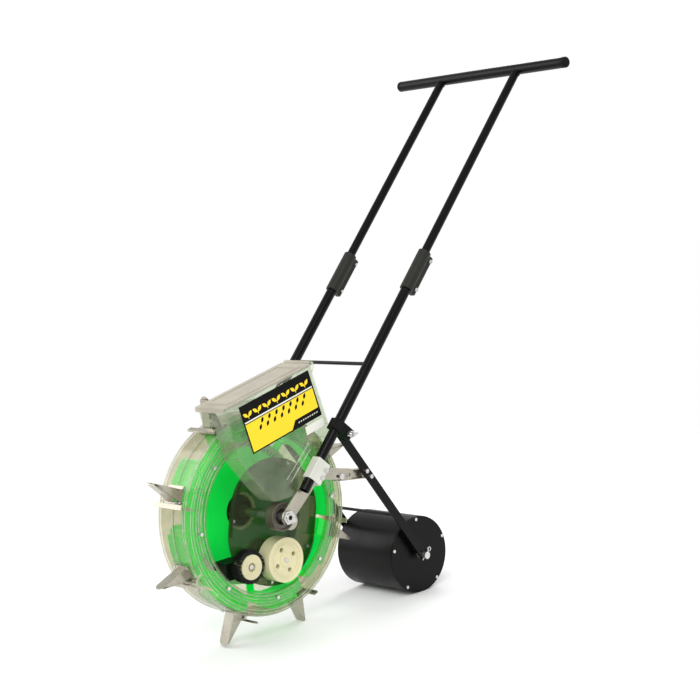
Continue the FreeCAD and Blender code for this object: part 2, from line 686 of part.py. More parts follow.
def box_walls(x_from, x_to):
    """One flat wall along every side of the hopper's outline but its open top."""
    inner = inset(HOPPER_SIDE, WALL)
    walls = []
    for index in range(1, len(HOPPER_SIDE)):
        after = (index + 1) % len(HOPPER_SIDE)
        corners = [HOPPER_SIDE[index], HOPPER_SIDE[after], inner[after], inner[index]]
        walls.append(prism(corners, x_from, x_to - x_from))
    return walls


def spout_walls():
    """The four walls of the channel that leads from the box into the drum."""
    back, front, low, high = SPOUT
    sides = [(back, front, low, low + WALL), (back, front, high - WALL, high),
             (back, back + WALL, low + WALL, high - WALL), (front - WALL, front, low + WALL, high - WALL)]
    return [block(SPOUT_START, HOPPER_STEP, *side) for side in sides]


def shelf_walls():
    """The part of the box that reaches over the wheel's rim: far panel, floor and two end walls."""
    x_floor = HOPPER_FAR + WALL
    depth = HOPPER_STEP - HOPPER_FAR
    under = cylinder(0, FAR_OUT, SHELF_RADIUS)
    floor_top = cylinder(0, FAR_OUT, SHELF_RADIUS + WALL)
    panel = prism(HOPPER_SIDE, HOPPER_FAR, WALL).cut(under)
    floor = prism(HOPPER_SIDE, x_floor, depth).common(floor_top).cut(under)
    ends = [wall.cut(floor_top) for wall in box_walls(x_floor, x_floor + depth)]
    return [panel, floor] + [wall for wall in ends if wall.Solids]


def hinge_ear(x_from):
    """An ear behind the box that carries the lid's hinge pin."""
    ear = prism(EAR_SIDE, x_from, EAR_WIDTH).cut(prism(HOPPER_SIDE, 0, FAR_OUT))
    return ear.cut(cylinder(0, FAR_OUT, PIN_RADIUS + 0.01, *HINGE))


def hopper():
    """Clear box of thin flat panels beside the wheel, a hair apart so that each is a closed solid."""
    back, front, low, high = SPOUT
    spout_hole = block(0, FAR_OUT, back + WALL, front - WALL, low + WALL, high - WALL)
    far_panel = prism(HOPPER_SIDE, HOPPER_STEP, WALL).common(cylinder(0, FAR_OUT, SHELF_RADIUS))
    panels = [far_panel.cut(spout_hole), prism(HOPPER_SIDE, HOPPER_NEAR - WALL, WALL)]
    panels += box_walls(HOPPER_STEP + WALL, HOPPER_NEAR - WALL) + shelf_walls() + spout_walls()
    panels += [hinge_ear(HOPPER_FAR), hinge_ear(HOPPER_NEAR - EAR_WIDTH)]
    for panel in panels:
        panel.scale(1 - SEAM, panel.BoundBox.Center)
    return Part.makeCompound(panels)


coded("hopper_body", hopper())
disc("lid_hinge_pin", "Sheet.hopper_far", "Sheet.hopper_near-Sheet.hopper_far", "2", None, ("114.5", "300.5"))


def lid():
    """Frosted sloping lid with a chamfered front corner, a raised edge and a hinge barrel."""
    def sloped(y_from, y_to, low, high, x_from, x_to):
        corners = []
        for y, rise in ((y_from, low), (y_to, low), (y_to, high), (y_from, high)):
            corners.append((y, 246 + (y + 125) * LID_SLOPE + rise))
        return prism(corners, x_from, x_to - x_from)

    top = sloped(LID_FRONT, LID_BACK, LID_GAP, LID_GAP + LID_THICK, LID_FAR, LID_NEAR)
    rim_lip = sloped(LID_FRONT, LID_FRONT + LID_THICK, -6, 1, LID_FAR, LID_NEAR)
    rib = sloped(-112, 92, 3, 4.6, HOPPER_FAR + 8, HOPPER_NEAR - 10)
    step = sloped(-100, 80, 3, 4.6, HOPPER_FAR + 14, HOPPER_NEAR - 16)
    barrel = cylinder(HOPPER_FAR + 5.3, HOPPER_NEAR - HOPPER_FAR - 10.6, 4.5, *HINGE)
    web = block(HOPPER_FAR + 5.3, HOPPER_NEAR - 5.3, 107, 113, 298.4, 302)
    shape = top.fuse([rim_lip, rib.cut(step), barrel, web])
    corner = [V(92, -140, 200), V(120, -140, 200), V(120, -108, 200)]
    chamfer = Part.Face(Part.makePolygon(corner + corner[:1])).extrude(V(0, 0, 150))
    shape = shape.cut(chamfer).cut(cylinder(0, FAR_OUT, PIN_RADIUS + 0.05, *HINGE))
    ear_gap = EAR_WIDTH + 0.5
    for x_from, x_to in ((0, HOPPER_FAR + ear_gap), (HOPPER_NEAR - ear_gap, FAR_OUT)):
        shape = shape.cut(block(x_from, x_to, LID_BACK - 2.5, FAR_OUT, HINGE[1] - 20, HINGE[1] + 20))
    return shape.removeSplitter()


coded("hopper_lid", lid())
plate("hopper_label", "Sheet.hopper_near", "0.4",
      [("-91", "244"), ("-67", "145"), ("125", "190"), ("100", "288")])
plate("hopper_sticker", "Sheet.hopper_near", "0.3",
      [("76", "172"), ("79", "155"), ("130", "167"), ("127", "184")])


# ---------------------------------------------------------------- seed chamber inside the drum
CHAMBER_START = size("Sheet.chamber_start")
CHAMBER_THICK = size("Sheet.chamber_thick")
CHAMBER_NEAR = CHAMBER_START + CHAMBER_THICK
CHAMBER_RADIUS = size("Sheet.chamber_radius")
CHAMBER_TOP = (size("Sheet.chamber_top_y"), size("Sheet.chamber_top_z"))
CHAMBER_LOW = (size("Sheet.chamber_low_y"), size("Sheet.chamber_low_z"))
GEAR_CENTRES = (size("Sheet.ring_teeth") - size("Sheet.pinion_teeth")) * MODULE / 2
ROLLER_TURN = math.radians(size("Sheet.roller_angle"))
SEED_AXIS = (GEAR_CENTRES * math.sin(ROLLER_TURN), -GEAR_CENTRES * math.cos(ROLLER_TURN))
BRUSH_AXIS = (size("Sheet.brush_y"), size("Sheet.brush_z"))
CHAMBER_BOLT_ANGLES = [15, 60, 112, 178]
LOW_BOLT_ANGLES = [214, 262, 330]


def chamber_bolt_points():
    """Bolts just inside the edge of the chamber plate, round both of its centres."""
    points = []
    for centre, angles in ((CHAMBER_TOP, CHAMBER_BOLT_ANGLES), (CHAMBER_LOW, LOW_BOLT_ANGLES)):
        for angle in angles:
            turn = math.radians(angle)
            radius = CHAMBER_RADIUS - 6
            points.append((centre[0] + radius * math.cos(turn), centre[1] + radius * math.sin(turn)))
    return points


chamber = link(CHAMBER_START, CHAMBER_THICK, CHAMBER_TOP, CHAMBER_LOW, CHAMBER_RADIUS)
chamber = chamber.cut(cylinder(0, 60, AXLE_RADIUS)).cut(cylinder(0, 60, 5.05, *SEED_AXIS))
chamber = chamber.cut(cylinder(0, 60, 5, *BRUSH_AXIS))
for point in STUDS:
    chamber = chamber.cut(cylinder(0, 60, 3, *point))
for point in chamber_bolt_points():
    chamber = chamber.cut(cylinder(0, 60, 2, *point))

wall = link(CHAMBER_NEAR, 9, CHAMBER_TOP, CHAMBER_LOW, CHAMBER_RADIUS)
wall = wall.cut(link(CHAMBER_NEAR, 9, CHAMBER_TOP, CHAMBER_LOW, CHAMBER_RADIUS - 2.5))
wall = wall.cut(block(0, 60, -120, -14, -170, -30))
coded("chamber_plate", chamber.fuse(wall).removeSplitter())

chamber_bolts = []
for point in chamber_bolt_points():
    chamber_bolts.append(bolt(CHAMBER_NEAR, 12, 2, *point))
coded("chamber_bolts", Part.makeCompound(chamber_bolts))

wiper = block(-24, CHAMBER_START, -102, -52, -120, -84)
long_edges = [edge for edge in wiper.Edges if abs(edge.tangentAt(edge.FirstParameter).x) > 0.9]
wiper = wiper.makeFillet(3, long_edges)
wiper = wiper.cut(cylinder(CHAMBER_START - 12, 12, 5, *BRUSH_AXIS))
for point in chamber_bolt_points():
    wiper = wiper.cut(cylinder(CHAMBER_START - 12, 12, 2, *point))
coded("seed_wiper", wiper)

# ---------------------------------------------------------------- hub plate, hub ring and studs
turned("hub_ring", [
    ("72", "Sheet.axle_radius"), ("72", "30"), ("95", "30"), ("95", "27"), ("91", "24"), ("91", "17"),
    ("76", "17"), ("76", "Sheet.axle_radius")])
hub_plate = link(68, 4, (0, 0), (38, -21), 18)
hub_plate = hub_plate.cut(cylinder(60, 20, AXLE_RADIUS))
for point in STUDS:
    hub_plate = hub_plate.cut(cylinder(60, 20, 3, *point))
coded("hub_plate", hub_plate)

# ---------------------------------------------------------------- seed roller, its shaft and pinion
SEED_Y = "((Sheet.ring_teeth-Sheet.pinion_teeth)*Sheet.gear_module/2*sin(Sheet.roller_angle*1deg))"
SEED_Z = "(-(Sheet.ring_teeth-Sheet.pinion_teeth)*Sheet.gear_module/2*cos(Sheet.roller_angle*1deg))"
SEED_START = size("Sheet.seed_roller_start")
SEED_WIDTH = size("Sheet.seed_roller_width")
SEED_RADIUS = size("Sheet.seed_roller_radius")

roller = disc("seed_roller", "Sheet.seed_roller_start", "Sheet.seed_roller_width",
              "Sheet.seed_roller_radius", "5", (SEED_Y, SEED_Z))
face = SEED_START + SEED_WIDTH
pockets = []
for angle in (20, 110, 200, 290):
    turn = math.radians(angle)
    centre = (SEED_AXIS[0] + 24 * math.cos(turn), SEED_AXIS[1] + 24 * math.sin(turn))
    pockets.append(cylinder(face - 22, 24, 5, *centre))
for angle in (65, 245):
    turn = math.radians(angle)
    outward = V(0, math.cos(turn), math.sin(turn))
    foot = V(SEED_START + SEED_WIDTH / 2, *SEED_AXIS) + outward * (SEED_RADIUS - 9)
    pockets.append(Part.makeCylinder(7, 12, foot, outward))
recess = cylinder(face - 1.5, 3, 40, *SEED_AXIS).cut(cylinder(face - 1.5, 3, 15, *SEED_AXIS))
rib_ring = cylinder(face - 1.5, 3, 34, *SEED_AXIS).cut(cylinder(face - 1.5, 3, 31.5, *SEED_AXIS))
pockets.append(recess.cut(rib_ring))
cut_with("seed_roller", roller, Part.makeCompound(pockets))
disc("seed_shaft", "Sheet.gear_start", "Sheet.seed_roller_start+Sheet.seed_roller_width-Sheet.gear_start+2",
     "5", None, (SEED_Y, SEED_Z))

pinion_teeth = int(size("Sheet.pinion_teeth"))
pinion_points = gear_outline(pinion_teeth, MODULE, 0.8 * MODULE, 1.25 * MODULE)
ring_pitch = 2 * math.pi / ring_teeth
mesh_line = ROLLER_TURN - math.pi / 2


def turned_points(points, angle, centre):
    """Points turned by an angle and moved to a centre."""
    moved = []
    for y, z in points:
        moved.append((centre[0] + y * math.cos(angle) - z * math.sin(angle),
                      centre[1] + y * math.sin(angle) + z * math.cos(angle)))
    return moved


# A pinion tooth stands in the ring-gear space that lies on the line between the two centres.
ring_space_angle = round(mesh_line / ring_pitch) * ring_pitch
slip = (ring_space_angle - mesh_line) * ring_teeth / pinion_teeth
pinion = prism(turned_points(pinion_points, mesh_line + slip, SEED_AXIS), GEAR_START, GEAR_WIDTH)
coded("seed_pinion", pinion.cut(cylinder(GEAR_START, GEAR_WIDTH, 5, *SEED_AXIS)))

# ---------------------------------------------------------------- brush roller and its pin
disc("brush_pin", "Sheet.chamber_start", "32", "5", None, ("Sheet.brush_y", "Sheet.brush_z"))
core = disc("brush_core", "Sheet.chamber_start+6", "28", "Sheet.brush_core", "5.05",
            ("Sheet.brush_y", "Sheet.brush_z"))
core_end = CHAMBER_START + 34
cut_with("brush_core", core, cylinder(core_end - 8, 10, size("Sheet.brush_bore"), *BRUSH_AXIS))


def bristle_ring():
    """Brush hair round the core, parted into tufts by narrow gaps."""
    outer = size("Sheet.brush_radius")
    inner = size("Sheet.brush_core")
    ring = cylinder(CHAMBER_START + 6.5, 27, outer, *BRUSH_AXIS).cut(
        cylinder(CHAMBER_START + 6.5, 27, inner, *BRUSH_AXIS))
    gaps = []
    for index in range(24):
        gap = block(0, 80, inner + 3, outer + 2, -0.5, 0.5)
        gap.rotate(V(0, 0, 0), V(1, 0, 0), 15 * index)
        gap.translate(V(0, *BRUSH_AXIS))
        gaps.append(gap)
    return ring.cut(Part.makeCompound(gaps))


coded("brush_hair", bristle_ring())

# ---------------------------------------------------------------- telescoping handle
BAR_RADIUS = size("Sheet.bar_radius")
BAR_HALF = size("Sheet.bar_length") / 2
CAP = size("Sheet.cap_length")
UPPER_END = size("Sheet.upper_length")
BAR = handle_point(UPPER_END, 0)
bar_solid = cylinder(-BAR_HALF + CAP, 2 * (BAR_HALF - CAP), BAR_RADIUS, *BAR)
upper = on_handle(tube_solid(-160, UPPER_END + 160, size("Sheet.upper_tube"), size("Sheet.upper_bore")))
coded("upper_tubes", Part.makeCompound([tube.cut(bar_solid) for tube in both_sides(upper)]))
coded("handle_bar", bar_solid)
end_cap = cylinder(BAR_HALF - CAP, CAP, BAR_RADIUS, *BAR)
end_cap = end_cap.makeFillet(5, [edge for edge in end_cap.Edges if edge.BoundBox.XMin > BAR_HALF - 1])
coded("bar_end_caps", Part.makeCompound(both_sides(end_cap)))

# ---------------------------------------------------------------- arms that carry the press roller
PRESS = (size("Sheet.press_y"), size("Sheet.press_z"))
ARM_X = size("Sheet.arm_x")
ARM_THICK = size("Sheet.arm_thick")
ARM_HALF = size("Sheet.arm_width") / 2
STAY_END = (240, 41)
STAY_BOLTS = [(234, 47), (245, 33)]
ARM_ROD = (309, -67)


def arm(near):
    """A flat bar from the pivot on the handle tube to the end of the roller axle."""
    shape = link(ARM_X, ARM_THICK, PIVOT, PRESS, ARM_HALF)
    shape = shape.cut(cylinder(90, 30, 4, *PIVOT)).cut(cylinder(90, 30, 8, *PRESS))
    shape = shape.cut(cylinder(90, 30, 3.5, *ARM_ROD))
    if near:
        for point in STAY_BOLTS:
            shape = shape.cut(cylinder(90, 30, 3, *point))
    return shape


coded("arm_near", arm(True))
coded("arm_far", arm(False).mirror(V(0, 0, 0), V(1, 0, 0)))
coded("arm_rod", cylinder(-ARM_X - ARM_THICK, 2 * (ARM_X + ARM_THICK), 3.5, *ARM_ROD))
stay = link(ARM_X - 12, 12, SLOT, STAY_END, 11).cut(link(ARM_X - 10.5, 11, SLOT, STAY_END, 9.5))
stay = stay.fuse(link(ARM_X - 1.5, 1.5, (234, 42), STAY_END, 11))
stay = stay.cut(cylinder(80, 30, 3, *SLOT))
for point in STAY_BOLTS:
    stay = stay.cut(cylinder(80, 30, 3, *point))
coded("roller_stay", stay.removeSplitter())


PIVOT_BOLT = 4


def wing_nut(x_face, centre, reach):
    """A nut with two ears, standing outside the face it tightens on."""
    nut = cylinder(x_face, 7, 7.5, *centre)
    ear = Part.makeCylinder(5.5, 2.6, V(x_face + 8, centre[0] + reach, centre[1] - 1.3), V(0, 0, 1))
    other = Part.makeCylinder(5.5, 2.6, V(x_face + 8, centre[0] - reach, centre[1] - 1.3), V(0, 0, 1))
    return nut.fuse([ear, other]).cut(cylinder(x_face, 20, PIVOT_BOLT + 0.1, *centre)).removeSplitter()


LUG_OUT = TUBE_X + 13
pivot_bolt = bolt(ARM_X, 48, PIVOT_BOLT, *PIVOT, outward=-1)
coded("wing_nuts", Part.makeCompound(both_sides(wing_nut(LUG_OUT + 0.2, PIVOT, 9))))
slot_bolt = Part.makeCylinder(5, 3, V(ARM_X - 10.5, *SLOT), V(1, 0, 0))
slot_nut = cylinder(PLATE_X + PLATE + 0.2, 3.5, 6.5, *SLOT)
slot_bolt = slot_bolt.fuse(cylinder(ARM_X - 12, 24, 3, *SLOT)).fuse(slot_nut)
arm_bolts = both_sides(pivot_bolt) + [slot_bolt]
for point in STAY_BOLTS:
    arm_bolts.append(bolt(ARM_X + ARM_THICK, 9, 3, *point))
coded("arm_bolts", Part.makeCompound(arm_bolts))

# ---------------------------------------------------------------- press roller
PRESS_AT = ("Sheet.press_y", "Sheet.press_z")
ROLLER_HALF = size("Sheet.press_width") / 2
PRESS_RADIUS = size("Sheet.press_radius")
shell = disc("roller_shell", "-Sheet.press_width/2+2.5", "Sheet.press_width-5", "Sheet.press_radius",
             "Sheet.press_radius-12", PRESS_AT)
cut_with("roller_shell", shell, cylinder(-ROLLER_HALF + 12, 2 * ROLLER_HALF - 24, PRESS_RADIUS - 3, *PRESS))


def roller_screw_points():
    """Five screws round each end cap."""
    points = []
    for index in range(5):
        turn = math.radians(18 + 72 * index)
        points.append((PRESS[0] + 79 * math.cos(turn), PRESS[1] + 79 * math.sin(turn)))
    return points


cap = cylinder(ROLLER_HALF - 2.5, 2.5, PRESS_RADIUS - 0.5, *PRESS)
cap = cap.fuse(cylinder(ROLLER_HALF - 24, 24, 15, *PRESS))
cap = cap.cut(cylinder(0, 200, 8.05, *PRESS))
roller_screws = []
for point in roller_screw_points():
    cap = cap.cut(cylinder(ROLLER_HALF - 3, 6, 2, *point))
    head = cylinder(ROLLER_HALF, 2, 3.6, *point)
    roller_screws.append(head.fuse(cylinder(ROLLER_HALF - 2.5, 2.5, 2, *point)))
coded("roller_caps", Part.makeCompound(both_sides(cap.removeSplitter())))
coded("roller_screws", Part.makeCompound(sum([both_sides(screw) for screw in roller_screws], [])))

CLIP_X = ARM_X + ARM_THICK + 4
axle = disc("roller_axle", "-114", "228", "8", None, PRESS_AT)
CLIP_WIRE = 1.4
CLIP_TILT = -50


def tilted(shape):
    """Turn an upright solid about the roller's axle to the angle of the spring clips."""
    placed = shape.copy()
    placed.rotate(V(0, *PRESS), V(1, 0, 0), CLIP_TILT)
    return placed


pin_hole = tilted(Part.makeCylinder(CLIP_WIRE, 30, V(CLIP_X, PRESS[0], PRESS[1] - 15), V(0, 0, 1)))
cut_with("roller_axle", axle, Part.makeCompound(both_sides(pin_hole)))


def spring_clip():
    """A split pin: straight leg through the axle and a small ring at its upper end."""
    ring_radius = 4
    leg_top = 13
    leg = Part.makeCylinder(CLIP_WIRE, leg_top + 14, V(CLIP_X, PRESS[0], PRESS[1] - 14), V(0, 0, 1))
    ring_at = V(CLIP_X, PRESS[0], PRESS[1] + leg_top + ring_radius)
    ring = Part.makeTorus(ring_radius, CLIP_WIRE, ring_at, V(1, 0, 0))
    return tilted(leg.fuse(ring).removeSplitter())


coded("spring_clips", Part.makeCompound(both_sides(spring_clip())))


# ---------------------------------------------------------------- check and write every piece
doc.recompute()
HIDDEN = ("_tool", "_blank")
pieces = []
for item in doc.Objects:
    if item.TypeId in ("PartDesign::Body", "Part::Feature", "Part::Cut") and not item.Label.endswith(HIDDEN):
        pieces.append(item)
for item in doc.Objects:
    if "Invalid" in item.State or "Error" in item.State:
        raise RuntimeError("%s is %s" % (item.Name, item.State))
names = set()
for piece in pieces:
    if piece.Shape.isNull() or not piece.Shape.isValid():
        raise RuntimeError("%s has no valid shape" % piece.Label)
    if not piece.Shape.Solids or piece.Label in names:
        raise RuntimeError("%s has no solid or a repeated name" % piece.Label)
    names.add(piece.Label)
os.makedirs("parts", exist_ok=True)
for piece in pieces:
    piece.Shape.exportStep("parts/%s.step" % piece.Label)
print("pieces", len(pieces))
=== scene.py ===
import math
import random

import bpy
from mathutils import Matrix, Vector


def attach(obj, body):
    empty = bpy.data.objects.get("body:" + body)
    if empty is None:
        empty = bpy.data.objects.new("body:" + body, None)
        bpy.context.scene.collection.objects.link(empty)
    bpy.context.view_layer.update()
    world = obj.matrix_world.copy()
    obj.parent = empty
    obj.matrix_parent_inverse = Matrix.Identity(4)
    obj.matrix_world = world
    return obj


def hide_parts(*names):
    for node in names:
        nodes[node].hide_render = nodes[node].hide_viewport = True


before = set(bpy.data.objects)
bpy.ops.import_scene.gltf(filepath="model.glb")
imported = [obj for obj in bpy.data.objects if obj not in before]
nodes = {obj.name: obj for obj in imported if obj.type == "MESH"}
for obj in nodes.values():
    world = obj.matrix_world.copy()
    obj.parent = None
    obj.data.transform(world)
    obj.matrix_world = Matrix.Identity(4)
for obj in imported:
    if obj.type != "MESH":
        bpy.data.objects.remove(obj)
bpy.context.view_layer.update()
random.seed(11)
MM = 0.001


# ---------------------------------------------------------------- node material helpers
def linear(color):
    """Linear colour with alpha from an sRGB one."""
    return tuple((c / 12.92 if c <= 0.04045 else ((c + 0.055) / 1.055) ** 2.4) for c in color) + (1.0,)


NOISE_LOW = 0.3
NOISE_HIGH = 0.7


class Shader:
    """A node material being built, with short ways to add and join nodes."""

    def __init__(self, name):
        self.material = bpy.data.materials.new(name)
        self.material.use_nodes = True
        self.tree = self.material.node_tree
        self.tree.nodes.clear()
        self.output = self.add("ShaderNodeOutputMaterial")
        self.coordinates = self.add("ShaderNodeTexCoord").outputs["Object"]

    def add(self, kind, **settings):
        """A new node with some of its settings or input values given."""
        node = self.tree.nodes.new(kind)
        for key, value in settings.items():
            if hasattr(node, key):
                setattr(node, key, value)
            else:
                node.inputs[key.replace("_", " ")].default_value = value
        return node

    def join(self, source, target):
        """A link from one node's output to another's input."""
        self.tree.links.new(source, target)

    def noise(self, scale, detail=4.0, stretch=(1, 1, 1)):
        """Noise in the object's own space, stretched along its axes where asked."""
        mapping = self.add("ShaderNodeMapping")
        mapping.inputs["Scale"].default_value = stretch
        self.join(self.coordinates, mapping.inputs["Vector"])
        texture = self.add("ShaderNodeTexNoise", Scale=scale, Detail=detail)
        self.join(mapping.outputs["Vector"], texture.inputs["Vector"])
        return texture.outputs["Fac"]

    def ramp(self, factor, low, high, dark, light):
        """Two colours blended between two levels of a factor."""
        node = self.add("ShaderNodeValToRGB")
        node.color_ramp.elements[0].position = low
        node.color_ramp.elements[1].position = high
        node.color_ramp.elements[0].color = dark
        node.color_ramp.elements[1].color = light
        self.join(factor, node.inputs["Fac"])
        return node.outputs["Color"]

    def level(self, factor, low, high):
        """Noise, which rarely leaves its middle, stretched to run from low to high."""
        node = self.add("ShaderNodeMapRange")
        node.inputs["From Min"].default_value = NOISE_LOW
        node.inputs["From Max"].default_value = NOISE_HIGH
        node.inputs["To Min"].default_value = low
        node.inputs["To Max"].default_value = high
        self.join(factor, node.inputs["Value"])
        return node.outputs["Result"]

    def bump(self, height, strength, distance):
        """A normal tilted by a height pattern."""
        node = self.add("ShaderNodeBump", Strength=strength, Distance=distance)
        self.join(height, node.inputs["Height"])
        return node.outputs["Normal"]

    def surface(self, color, roughness, metallic=0.0, normal=None, coat=0.0, specular=0.5, painted_glow=0.0):
        """The main surface, taking either plain values or the outputs of other nodes."""
        main = self.add("ShaderNodeBsdfPrincipled")
        for key, value in (("Base Color", color), ("Roughness", roughness), ("Metallic", metallic)):
            if isinstance(value, bpy.types.NodeSocket):
                self.join(value, main.inputs[key])
            else:
                main.inputs[key].default_value = value
        main.inputs["Coat Weight"].default_value = coat
        main.inputs["Coat Roughness"].default_value = 0.15
        main.inputs["Specular IOR Level"].default_value = specular
        # the emission is a painted glow of the surface's own colour, standing in for light shining through
        # the plastic
        main.inputs["Emission Strength"].default_value = painted_glow
        if painted_glow and isinstance(color, bpy.types.NodeSocket):
            self.join(color, main.inputs["Emission Color"])
        if normal is not None:
            self.join(normal, main.inputs["Normal"])
        return main

    def power(self, factor, exponent):
        """A factor raised to a power, which keeps it near zero until it is large."""
        node = self.add("ShaderNodeMath", operation="POWER")
        self.join(factor, node.inputs[0])
        node.inputs[1].default_value = exponent
        return node.outputs["Value"]

    def span(self, factor, low, high):
        """A factor from 0 to 1 moved to run from low to high."""
        node = self.add("ShaderNodeMapRange")
        node.inputs["To Min"].default_value = low
        node.inputs["To Max"].default_value = high
        self.join(factor, node.inputs["Value"])
        return node.outputs["Result"]

    def blend(self, factor, first, second):
        """Two shaders mixed by a factor."""
        node = self.add("ShaderNodeMixShader")
        self.join(factor, node.inputs["Fac"])
        self.join(first.outputs[0], node.inputs[1])
        self.join(second.outputs[0], node.inputs[2])
        return node

    def finish(self, shader):
        """The finished material, with this shader as its surface."""
        self.join(shader.outputs[0], self.output.inputs["Surface"])
        return self.material


# ---------------------------------------------------------------- materials
def painted(name, color, roughness, grain=900.0, wear=0.35, coat=0.2, specular=0.5):
    """Paint with an orange-peel skin and patches that are a little duller."""
    s = Shader(name)
    dark = linear([c * (1 - wear * 0.4) for c in color])
    light = linear([min(1, c * (1 + wear * 0.3) + 0.004) for c in color])
    tone = s.ramp(s.noise(18), 0.35, 0.7, dark, light)
    rough = s.level(s.noise(60, 6), roughness * 0.85, roughness * 1.2)
    normal = s.bump(s.noise(grain, 2), 0.1, 0.0003)
    return s.finish(s.surface(tone, rough, 0.0, normal, coat, specular))


def galvanised(name, color, roughness, metallic=0.9):
    """Zinc-coated sheet: fine crystal spangle, faint rolling lines and a slow change of tone."""
    s = Shader(name)
    spangle = s.add("ShaderNodeTexVoronoi", Scale=420.0)
    s.join(s.coordinates, spangle.inputs["Vector"])
    grey = s.add("ShaderNodeSeparateColor")
    s.join(spangle.outputs["Color"], grey.inputs["Color"])
    mixed = s.add("ShaderNodeMath", operation="ADD")
    s.join(s.level(grey.outputs["Red"], 0.0, 0.25), mixed.inputs[0])
    s.join(s.level(s.noise(22, 3), 0.0, 0.75), mixed.inputs[1])
    tone = s.ramp(mixed.outputs["Value"], 0.0, 1.0, linear([c * 0.88 for c in color]), linear(color))
    rough = s.level(s.noise(45, 4), roughness * 0.9, roughness * 1.15)
    normal = s.bump(s.noise(500, 3, (1, 1, 8)), 0.06, 0.0001)
    return s.finish(s.surface(tone, rough, metallic, normal))


def moulded(name, color, roughness, grain=1400.0, shade=0.12, coat=0.0, painted_glow=0.0, specular=0.5):
    """Moulded plastic with a fine skin, slow changes of tone and, where asked, a painted glow of its own
    colour.
    """
    s = Shader(name)
    tone = s.ramp(s.noise(9), 0.3, 0.7, linear([c * (1 - shade) for c in color]), linear(color))
    rough = s.level(s.noise(80, 5), roughness * 0.85, roughness * 1.2)
    normal = s.bump(s.noise(grain, 2), 0.1, 0.0002)
    return s.finish(s.surface(tone, rough, 0.0, normal, coat, specular, painted_glow))


# how sharply the milkiness and the shine rise towards the edges of clear plastic
MILK_RISE = 2.2
SHINE_RISE = 5.0
HEAD_ON_SHINE = 0.05
RING_SCALE = 38.0


def clear(name, tint, body, opacity, edge, streak=0.04, roughness=0.12, shine=0.8, ridges=0.0):
    """Thin clear plastic: see-through from the front, milkier at its edges, with a wet shine."""
    s = Shader(name)
    through = s.add("ShaderNodeBsdfTransparent")
    through.inputs["Color"].default_value = linear(tint)
    tone = s.ramp(s.noise(14), 0.3, 0.75, linear([c * 0.88 for c in body]), linear(body))
    ripple = s.bump(s.noise(30, 3), 0.12, 0.001)
    if ridges:
        rings = s.add("ShaderNodeTexWave", wave_type="RINGS", rings_direction="X", Scale=RING_SCALE)
        s.join(s.coordinates, rings.inputs["Vector"])
        ripple = s.bump(rings.outputs["Fac"], ridges, 0.002)
    milk = s.surface(tone, 0.5, 0.0, ripple)
    facing = s.add("ShaderNodeLayerWeight", Blend=0.5).outputs["Facing"]
    total = s.add("ShaderNodeMath", operation="ADD", use_clamp=True)
    s.join(s.span(s.power(facing, MILK_RISE), opacity, edge), total.inputs[0])
    s.join(s.level(s.noise(55, 6, (0.4, 1, 1)), -streak, streak), total.inputs[1])
    haze = s.blend(total.outputs["Value"], through, milk)
    gloss = s.add("ShaderNodeBsdfGlossy", Roughness=roughness)
    s.join(ripple, gloss.inputs["Normal"])
    strength = s.span(s.power(facing, SHINE_RISE), HEAD_ON_SHINE * shine, shine)
    return s.finish(s.blend(strength, haze, gloss))


M = {
    "wheel": clear("clear_wheel_plastic", (0.95, 0.945, 0.90), (0.62, 0.59, 0.49), 0.05, 0.62, ridges=0.9),
    # a whiter clear plastic whose pale body is a painted highlight along the moulded rings and ribs
    "painted_highlight_ridge": clear("clear_ridge_painted_highlight", (0.97, 0.98, 0.96), (0.93, 0.95, 0.91), 0.30, 0.85, 0.2),
    "hopper": clear("clear_hopper_plastic", (0.970, 0.982, 0.955), (0.74, 0.75, 0.65), 0.035, 0.50),
    "smoky": clear("smoky_plastic", (0.70, 0.76, 0.62), (0.22, 0.26, 0.15), 0.38, 0.6, shine=0.3),
    # the green plastic gives off a painted glow of its own colour, standing in for light shining through it
    "green": moulded("green_plastic", (0.06, 0.93, 0.33), 0.35, shade=0.08, coat=0.2, painted_glow=0.30),
    "zinc": galvanised("galvanised_sheet", (0.74, 0.72, 0.66), 0.28),
    "steel": galvanised("bright_steel", (0.86, 0.86, 0.85), 0.20),
    "black": painted("black_paint", (0.004, 0.004, 0.004), 0.28, coat=0.0, specular=0.18),
    "roller": painted("black_roller_paint", (0.004, 0.004, 0.003), 0.34, 500.0, coat=0.0, specular=0.16),
    "rubber": moulded("black_plastic", (0.015, 0.015, 0.015), 0.6, specular=0.2),
    "coupler": moulded("coupler_plastic", (0.13, 0.14, 0.11), 0.5, specular=0.3),
    "dark_metal": painted("dark_metal", (0.30, 0.28, 0.24), 0.35, coat=0.3),
    "cream": moulded("cream_plastic", (0.90, 0.87, 0.70), 0.42),
    "white": moulded("white_plastic", (0.91, 0.91, 0.87), 0.40),
    "lid": clear("frosted_lid", (0.95, 0.95, 0.92), (0.77, 0.74, 0.67), 0.66, 0.95, shine=0.4, roughness=0.3),
    "yellow": moulded("yellow_print", (1.0, 0.86, 0.02), 0.4, shade=0.04, coat=0.1),
    "ink": moulded("black_print", (0.01, 0.01, 0.01), 0.5, specular=0.15),
    "paper": moulded("white_paper", (0.92, 0.92, 0.88), 0.55, shade=0.05),
    "hair": moulded("brush_hair_black", (0.05, 0.05, 0.05), 0.6),
}
